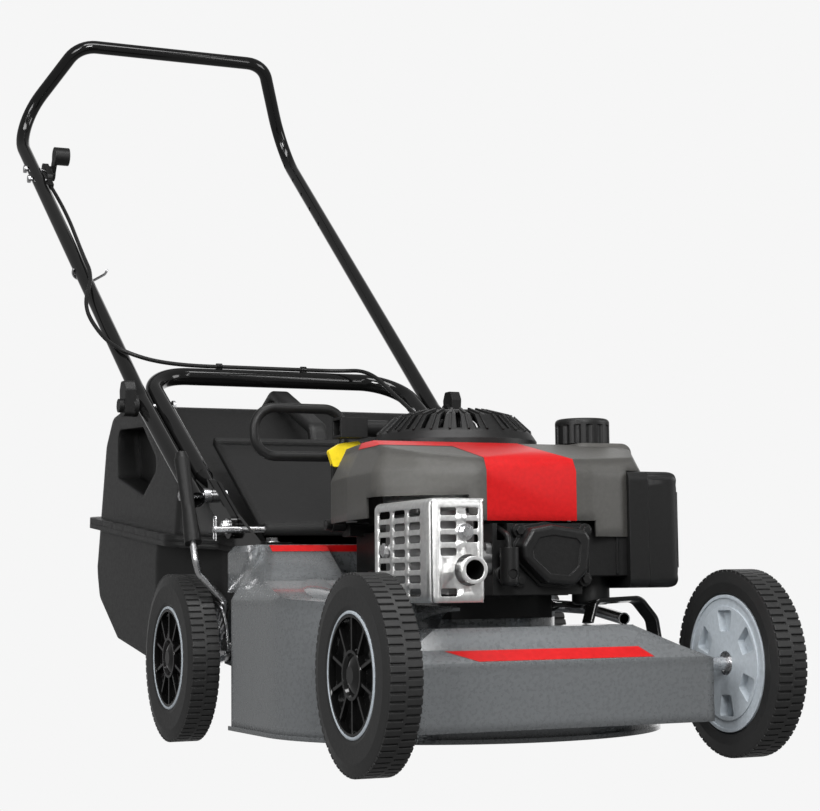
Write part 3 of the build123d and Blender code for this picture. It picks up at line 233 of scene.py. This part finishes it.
# %% Shared surface group
def surface_group():
    group = bpy.data.node_groups.new("edge_and_grain", "ShaderNodeTree")
    new = group.interface.new_socket
    inputs = {"Edge": 0.001, "Scale": 600.0, "Strength": 0.1, "Roughness": 0.4, "Drift": 0.4}
    for name, value in inputs.items():
        new(name, in_out="INPUT", socket_type="NodeSocketFloat").default_value = value
    new("Color", in_out="INPUT", socket_type="NodeSocketColor")
    new("Color", in_out="OUTPUT", socket_type="NodeSocketColor")
    new("Roughness", in_out="OUTPUT", socket_type="NodeSocketFloat")
    new("Normal", in_out="OUTPUT", socket_type="NodeSocketVector")
    made = group.nodes.new
    link = group.links.new
    into = made("NodeGroupInput")
    done = made("NodeGroupOutput")
    place = made("ShaderNodeTexCoord")
    round_and_grain(made, link, into, done, place)
    colour_drift(made, link, into, done, place)
    return group


def round_and_grain(made, link, into, done, place):
    noise = made("ShaderNodeTexNoise")
    bevel = made("ShaderNodeBevel")
    bevel.samples = 4
    bump = made("ShaderNodeBump")
    bump.inputs["Distance"].default_value = 0.0005
    link(place.outputs["Object"], noise.inputs["Vector"])
    link(into.outputs["Scale"], noise.inputs["Scale"])
    link(into.outputs["Edge"], bevel.inputs["Radius"])
    link(noise.outputs[0], bump.inputs["Height"])
    link(into.outputs["Strength"], bump.inputs["Strength"])
    link(bevel.outputs["Normal"], bump.inputs["Normal"])
    link(bump.outputs["Normal"], done.inputs["Normal"])


def colour_drift(made, link, into, done, place):
    cloud = made("ShaderNodeTexNoise")
    cloud.inputs["Scale"].default_value = 220
    cloud.inputs["Detail"].default_value = 2
    middle = made("ShaderNodeMath")
    middle.operation = "SUBTRACT"
    middle.inputs[1].default_value = 0.5
    drift = made("ShaderNodeMath")
    drift.operation = "MULTIPLY_ADD"
    drift.inputs[2].default_value = 1
    tint = made("ShaderNodeVectorMath")
    tint.operation = "SCALE"
    rub = made("ShaderNodeMath")
    rub.operation = "MULTIPLY"
    link(place.outputs["Object"], cloud.inputs["Vector"])
    link(cloud.outputs[0], middle.inputs[0])
    link(middle.outputs[0], drift.inputs[0])
    link(into.outputs["Drift"], drift.inputs[1])
    link(into.outputs["Color"], tint.inputs[0])
    link(drift.outputs[0], tint.inputs["Scale"])
    link(into.outputs["Roughness"], rub.inputs[0])
    link(drift.outputs[0], rub.inputs[1])
    link(tint.outputs["Vector"], done.inputs["Color"])
    link(rub.outputs[0], done.inputs["Roughness"])


SURFACE = surface_group()
print("shader group sockets:", len(SURFACE.interface.items_tree))

# %% [markdown]
# The machine has painted steel, moulded plastic, rubber and bare metal. All can be one
# Principled shader with different numbers, so a helper writes each finish in one line.
# Numbers that don't change over the surface sit on the shader's own sockets, and the rest
# comes from the group. The grain is a scale and a strength, and the edge a radius in metres.

# %% Materials
def finish(name, color, rough, metal=0.0, grain=(600, 0.1), edge=0.001, coat=0.0, shine=0.5):
    mat = bpy.data.materials.new(name)
    mat.use_nodes = True
    tree = mat.node_tree
    shade = tree.nodes["Principled BSDF"]
    shade.inputs["Metallic"].default_value = metal
    shade.inputs["Specular IOR Level"].default_value = shine
    shade.inputs["Coat Weight"].default_value = coat
    shade.inputs["Coat Roughness"].default_value = 0.07
    group = tree.nodes.new("ShaderNodeGroup")
    group.node_tree = SURFACE
    group.inputs["Edge"].default_value = edge
    group.inputs["Scale"].default_value = grain[0]
    group.inputs["Strength"].default_value = grain[1]
    group.inputs["Color"].default_value = (*color, 1)
    group.inputs["Roughness"].default_value = rough
    tree.links.new(group.outputs["Color"], shade.inputs["Base Color"])
    tree.links.new(group.outputs["Roughness"], shade.inputs["Roughness"])
    tree.links.new(group.outputs["Normal"], shade.inputs["Normal"])
    return mat


def grey(level):
    return (level, level, level)


MATERIALS = {
    "tyre": finish("tyre_rubber", grey(0.014), 0.48, grain=(900, 0.12), edge=0.0016, shine=0.45),
    "wheel": finish("wheel_grey", (0.4, 0.44, 0.475), 0.42, grain=(700, 0.05), edge=0.0012),
    "black": finish("black_plastic", grey(0.008), 0.42, grain=(1500, 0.1), edge=0.0014, shine=0.3),
    "gloss": finish("gloss_black", grey(0.004), 0.1, grain=(300, 0.004), edge=0.0003, shine=0.5),
    "zinc": finish("zinc", (0.66, 0.66, 0.67), 0.28, metal=1.0, grain=(800, 0.08), edge=0.0006),
    "steel": finish("plain_steel", grey(0.3), 0.4, metal=1.0, grain=(500, 0.1), edge=0.0008),
    "deck": finish("hammered_grey", (0.18, 0.19, 0.198), 0.28, metal=0.45, grain=(420, 0.2), edge=0.014,
                   coat=0.9),
    "cover": finish("cover_grey", (0.07, 0.068, 0.063), 0.42, grain=(1200, 0.06), edge=0.016, shine=0.4),
    "red": finish("red_plastic", (0.46, 0.004, 0.005), 0.36, grain=(1200, 0.03), edge=0.016, shine=0.3),
    "engine": finish("engine_black", grey(0.008), 0.38, grain=(500, 0.2), edge=0.0015, shine=0.35),
    "catcher": finish("catcher_black", grey(0.007), 0.42, grain=(1400, 0.2), edge=0.012, shine=0.4),
    "silver": finish("silver", (0.88, 0.88, 0.87), 0.36, metal=0.95, grain=(500, 0.12), edge=0.0018),
    "chrome": finish("chrome", (0.75, 0.75, 0.76), 0.12, metal=1.0, grain=(300, 0.01), edge=0.0006),
    "yellow": finish("yellow_plastic", (0.9, 0.68, 0.02), 0.4, grain=(1200, 0.05), edge=0.0012, shine=0.3),
}
print("materials:", ", ".join(MATERIALS))

# %% [markdown]
# Each piece takes a finish by its name, and what isn't listed is black plastic. The table
# is easier to change than one line for each piece. Smooth shading is set on every face,
# and edges sharper than a limit stay crisp.

# %% Dress the pieces
CRISP = math.radians(32)
DRESS = {
    "tyre": [n for n in nodes if n.endswith("_tyre")],
    "wheel": [n for n in nodes if n.endswith("_rim")],
    "zinc": ["front_bearings", "rear_bearings", "front_axle", "rear_axle", "height_quadrant", "height_lever",
             "arm_hardware", "frame_bolts"],
    "steel": ["blade_disc", "blade_1", "blade_2", "blade_3", "blade_4", "blade_bolts", "crankshaft",
              "spark_plug", "muffler_body"],
    "deck": ["deck"],
    "gloss": ["lower_handle", "upper_handle", "front_stay", "handle_brackets",
              *[n for n in nodes if n.endswith("_hub_cap")]],
    "cover": ["blower_cover", "fuel_tank"],
    "engine": ["engine_block", "rocker_cover", "carburettor"],
    "catcher": ["catcher_lower", "catcher_upper", "discharge_flap"],
    "silver": ["muffler_guard", "flywheel"],
    "chrome": ["drain_tube"],
}
given = {name: key for key, names in DRESS.items() for name in names}
for name, obj in nodes.items():
    obj.data.materials.clear()
    obj.data.materials.append(MATERIALS[given.get(name, "black")])
    obj.data.shade_smooth()
    obj.data.set_sharp_from_angle(angle=CRISP)
for piece in (cable_up, cable_low, rope):
    piece.data.materials.append(MATERIALS["black"])
print("dressed", len(nodes), "pieces")

# %% [markdown]
# Some pieces have two finishes: the control lever has a yellow tip, the spark plug is dark
# at its boot, and the silencer has a bright spout with black paint on the inner faces of its bore. Two
# solids could do that too. A second material slot, given to faces by where they lie, keeps each piece whole.

# %% Faces with a finish of their own
TIP_FROM = 0.329
TIP_WHOLE = 0.3365
STRIP_Y = 0.335 + FRONT_AXLE
STRIP_HALF = 0.0019
BOOT_LENGTH = 0.02
MOUTH = at(-128, -62, 204)
BORE = 0.0104
SPOUT = 0.0145


def second_finish(node, paint, chosen):
    mesh = nodes[node].data
    mesh.materials.append(MATERIALS[paint])
    faces = [f for f in mesh.polygons if chosen(f.center)]
    for face in faces:
        face.material_index = len(mesh.materials) - 1
    print(node, len(faces), "faces in", paint)


def on_tip(c):
    return c.z > TIP_FROM and (c.z > TIP_WHOLE or abs(c.y - STRIP_Y) > STRIP_HALF)


def from_mouth(c):
    return math.hypot(c.x - MOUTH.x, c.z - MOUTH.z)


plug_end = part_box("spark_plug")[0][1] + BOOT_LENGTH
second_finish("control_lever", "yellow", on_tip)
second_finish("spark_plug", "engine", lambda c: c.y < plug_end)
second_finish("muffler_body", "silver", lambda c: from_mouth(c) < SPOUT and c.y - MOUTH.y < 0.026)
# The inner faces of the spout's bore are painted with the black engine finish.
second_finish("muffler_body", "engine", lambda c: from_mouth(c) < BORE and -0.001 < c.y - MOUTH.y < 0.05)

# %% [markdown]
# The red band on the engine cover and the red strips on the deck follow the surface under
# them. They could be flat plates, but those would float over every bend. Here a copy of the
# piece's outer faces is cut by planes to the painted shape and lifted off by a hair. A solid
# from CAD comes as loose triangles, so the copy's doubles are merged before the cuts.

# %% Painted bands
LIFT = 0.0004
HEART = at(0, 207, 262)


def add_piece(name, mesh, body):
    obj = bpy.data.objects.new(name, mesh)
    scene.collection.objects.link(obj)
    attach(obj, body)
    return obj


def shaded(name, work, paint, crisp):
    mesh = bpy.data.meshes.new(name)
    work.to_mesh(mesh)
    work.free()
    mesh.shade_smooth()
    mesh.set_sharp_from_angle(angle=crisp)
    mesh.materials.clear()
    mesh.materials.append(MATERIALS[paint])
    return mesh


def skin(name, node, planes, outward):
    work = bmesh.new()
    work.from_mesh(nodes[node].data)
    bmesh.ops.delete(work, geom=[f for f in work.faces if not outward(f)], context="FACES")
    bmesh.ops.remove_doubles(work, verts=work.verts[:], dist=1e-6)
    for point, normal in planes:
        every = work.verts[:] + work.edges[:] + work.faces[:]
        bmesh.ops.bisect_plane(work, geom=every, plane_co=point, plane_no=normal, clear_outer=True)
    work.normal_update()
    for vert in work.verts:
        vert.co += vert.normal * LIFT
    obj = add_piece(name, shaded(name, work, "red", CRISP), "chassis")
    print(name, len(obj.data.polygons), "faces")


def facing_out(face):
    return face.normal.dot(face.calc_center_median() - HEART) > 0


skin("red_band", "blower_cover",
     [(at(-65, 0, 0), (-1, 0, 0)), (at(42, 40, 0), (0.995, 0.0995, 0)), (at(0, 168, 0), (0, 1, 0))],
     facing_out)
skin("red_edge", "blower_cover",
     [(at(0, 0, 341), (0, 0, -1)), (at(-65.2, 0, 0), (1, 0, 0)), (at(0, 205, 0), (0, 1, 0))],
     facing_out)
skin("bar_strip", "deck",
     [(at(0, 0, 113), (0, 0, -1)), (at(0, 0, 123.6), (0, 0, 1)), (at(-150, 0, 123), (-10.5, 0, -32)),
      (at(70, 0, 123), (10.5, 0, 12)), (at(0, -30, 0), (0, 1, 0))],
     lambda f: f.normal.z > 0.4 and f.normal.y < -0.3)
skin("hood_strip", "deck",
     [(at(0, 0, 231.5), (0, 0, -1)), (at(0, 0, 239.4), (0, 0, 1)), (at(-190, 0, 0), (-1, 0, 0)),
      (at(40, 0, 0), (1, 0, 0)), (at(0, 392, 0), (0, 1, 0))],
     lambda f: f.normal.y < -0.3 and f.normal.z > -0.2)

# %% [markdown]
# The rocker cover and the silencer guard are held by bolts whose heads repeat. Each could be
# modelled by hand, but Geometry Nodes set one small cylinder on every vertex of a mesh that
# is only points. Inputs are set by the socket's identifier, because a name may be used twice.
# The tree ends in Realize Instances, and the result is read back as a plain mesh.

# %% Bolt heads
def start_group(name, inputs):
    group = bpy.data.node_groups.new(name, "GeometryNodeTree")
    new = group.interface.new_socket
    new("Geometry", in_out="INPUT", socket_type="NodeSocketGeometry")
    for label, kind in inputs:
        new(label, in_out="INPUT", socket_type=kind)
    new("Paint", in_out="INPUT", socket_type="NodeSocketMaterial")
    new("Geometry", in_out="OUTPUT", socket_type="NodeSocketGeometry")
    return group


def repeat(group, shape, rotation, into):
    made = group.nodes.new
    link = group.links.new
    done = made("NodeGroupOutput")
    spots = made("GeometryNodeMeshToPoints")
    many = made("GeometryNodeInstanceOnPoints")
    real = made("GeometryNodeRealizeInstances")
    paint = made("GeometryNodeSetMaterial")
    link(into.outputs["Geometry"], spots.inputs["Mesh"])
    link(spots.outputs["Points"], many.inputs["Points"])
    link(shape.outputs["Mesh"], many.inputs["Instance"])
    link(rotation, many.inputs["Rotation"])
    link(many.outputs["Instances"], real.inputs["Geometry"])
    link(real.outputs["Geometry"], paint.inputs["Geometry"])
    link(into.outputs["Paint"], paint.inputs["Material"])
    link(paint.outputs["Geometry"], done.inputs["Geometry"])


def grow(name, spots, group, values, paint):
    seed = bpy.data.objects.new(name, spots)
    scene.collection.objects.link(seed)
    modifier = seed.modifiers.new(group.name, "NODES")
    modifier.node_group = group
    keys = {item.name: item.identifier for item in group.interface.items_tree if item.in_out == "INPUT"}
    for label, value in {**values, "Paint": MATERIALS[paint]}.items():
        modifier[keys[label]] = value
    mesh = plain_mesh(seed)
    bpy.data.objects.remove(seed)
    obj = add_piece(name, mesh, "chassis")
    print(name, len(mesh.polygons), "faces")


def points(name, places):
    spots = bpy.data.meshes.new(name)
    spots.from_pydata([at(*p) for p in places], [], [])
    return spots


def studs_group():
    group = start_group("studs", [("Sides", "NodeSocketInt"), ("Radius", "NodeSocketFloat"),
                                  ("Height", "NodeSocketFloat"), ("Turn", "NodeSocketVector")])
    into = group.nodes.new("NodeGroupInput")
    head = group.nodes.new("GeometryNodeMeshCylinder")
    group.links.new(into.outputs["Sides"], head.inputs["Vertices"])
    group.links.new(into.outputs["Radius"], head.inputs["Radius"])
    group.links.new(into.outputs["Height"], head.inputs["Depth"])
    repeat(group, head, into.outputs["Turn"], into)
    return group


STUDS = studs_group()
FORWARD = (math.pi / 2, 0, 0)
SIDEWAYS = (0, math.pi / 2, 0)
ROCKER_CORNERS = [(-31, 246), (-31, 194), (47, 194), (48, 246)]


def studs(name, places, radius, height, turn, paint, sides=6):
    values = {"Sides": sides, "Radius": radius, "Height": height, "Turn": turn}
    grow(name, points(name, places), STUDS, values, paint)


studs("rocker_bosses", [(x, 35, z) for x, z in ROCKER_CORNERS], 0.0075, 0.006, FORWARD, "engine", 24)
studs("rocker_bolts", [(x, 30.5, z) for x, z in ROCKER_CORNERS], 0.005, 0.005, FORWARD, "engine")
studs("guard_washers", [(-132, -48.9, 242)], 0.0085, 0.0018, FORWARD, "zinc", 32)
studs("guard_bolts", [(-132, -51.5, 242)], 0.0055, 0.005, FORWARD, "zinc")
studs("guard_side_bolts", [(-172.5, 63, 226)], 0.0075, 0.005, SIDEWAYS, "zinc")

# %% [markdown]
# The dome over the recoil starter has a ring of ribs between its louvres. An array modifier
# could turn one rib around the centre. Here a second node group sets a bar on each point of
# a ring and reads the bar's own turn from a named attribute on that point, so that the same
# group can lay bars at any slope.

# %% Ribs of the dome
DOME_Y = 262
LOUVRES = 26


def bars_group():
    group = start_group("bars", [("Size", "NodeSocketVector")])
    into = group.nodes.new("NodeGroupInput")
    bar = group.nodes.new("GeometryNodeMeshCube")
    turn = group.nodes.new("GeometryNodeInputNamedAttribute")
    turn.data_type = "FLOAT_VECTOR"
    turn.inputs["Name"].default_value = "turn"
    group.links.new(into.outputs["Size"], bar.inputs["Size"])
    repeat(group, bar, turn.outputs["Attribute"], into)
    return group


BARS = bars_group()


def dome_ribs(name, radius, z, drop, run, length):
    angles = [math.tau * (i + 0.5) / LOUVRES for i in range(LOUVRES)]
    spots = points(name, [(radius * math.cos(a), DOME_Y + radius * math.sin(a), z) for a in angles])
    store = spots.attributes.new("turn", "FLOAT_VECTOR", "POINT")
    for item, a in zip(store.data, angles):
        item.vector = (0, math.atan2(drop, run), a)
    grow(name, spots, BARS, {"Size": (length, 0.0026, 0.0034)}, "black")


dome_ribs("dome_ribs_low", 80.5, 374.6, 20, 21, 0.027)
dome_ribs("dome_ribs_high", 55, 388.4, 8, 30, 0.029)

# %% [markdown]
# The silencer guard and the air cleaner cover have rounder corners than their solids. A Bevel
# modifier needs clean edges, which a mesh of triangles full of slots doesn't have. So a copy
# is cut into narrow strips along its outer edges, and each point there is pulled onto a round:
# the longer of its two overhangs becomes its distance from the inner corner.

# %% Rounded corners
X, Y, Z = range(3)
STEPS = (0.12, 0.3, 0.5, 0.75, 1.0)


def rounded(name, node, limits, together, radius, body, paint):
    work = bmesh.new()
    work.from_mesh(nodes[node].data)
    bmesh.ops.remove_doubles(work, verts=work.verts[:], dist=1e-6)
    for axis, limit, sign in limits:
        normal = Vector([float(i == axis) for i in range(3)])
        for step in STEPS:
            every = work.verts[:] + work.edges[:] + work.faces[:]
            point = normal * (limit - sign * radius * step)
            bmesh.ops.bisect_plane(work, geom=every, plane_co=point, plane_no=normal)
    for vert in work.verts:
        over = Vector()
        for axis, limit, sign in limits:
            over[axis] += sign * max(0, sign * (vert.co[axis] - limit) + radius)
        flat = math.hypot(*[over[i] for i in together])
        tall = math.hypot(*[over[i] for i in range(3) if i not in together])
        if flat > 0 and tall > 0:
            vert.co += over * (max(flat, tall) / math.hypot(flat, tall) - 1)
    obj = add_piece(name, shaded(name, work, paint, math.radians(40)), body)
    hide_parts(node)
    print(name, len(obj.data.polygons), "faces")


low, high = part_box("muffler_guard")
rounded("guard_rounded", "muffler_guard",
        [(X, low[X], -1), (Y, low[Y], -1), (Z, high[Z], 1), (Z, low[Z], -1)],
        (X, Y), 0.008, "chassis", "silver")
low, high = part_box("air_cleaner_cover")
rounded("cleaner_rounded", "air_cleaner_cover",
        [(Y, low[Y], -1), (Y, high[Y], 1), (Z, low[Z], -1), (Z, high[Z], 1), (X, high[X], 1)],
        (Y, Z), 0.018, "air_cleaner_cover", "black")

# %% [markdown]
# Between the cylinder head and the air cleaner stands a dark panel with two ribs. It is three
# boxes in one mesh. Each box is bevelled in the mesh itself, because a real moulded edge
# catches a thin line of light and a plain box doesn't.

# %% Intake panel
PANEL_BOXES = [((44, 56, 197), (113, 60, 257.5)), ((62, 54.2, 199), (65, 57, 255)),
               ((98, 53.6, 199), (101, 57, 255))]
work = bmesh.new()
for near, far in PANEL_BOXES:
    start, end = at(*near), at(*far)
    fit = Matrix.Translation((start + end) / 2) @ Matrix.Diagonal((*(end - start), 1))
    block = bmesh.ops.create_cube(work, size=1, matrix=fit)
    edges = list({e for v in block["verts"] for e in v.link_edges})
    bmesh.ops.bevel(work, geom=edges, offset=0.0008, segments=2, affect="EDGES")
mesh = bpy.data.meshes.new("intake_panel")
work.to_mesh(mesh)
work.free()
mesh.materials.append(MATERIALS["engine"])
panel = add_piece("intake_panel", mesh, "chassis")
print("panel", len(mesh.polygons), "faces")
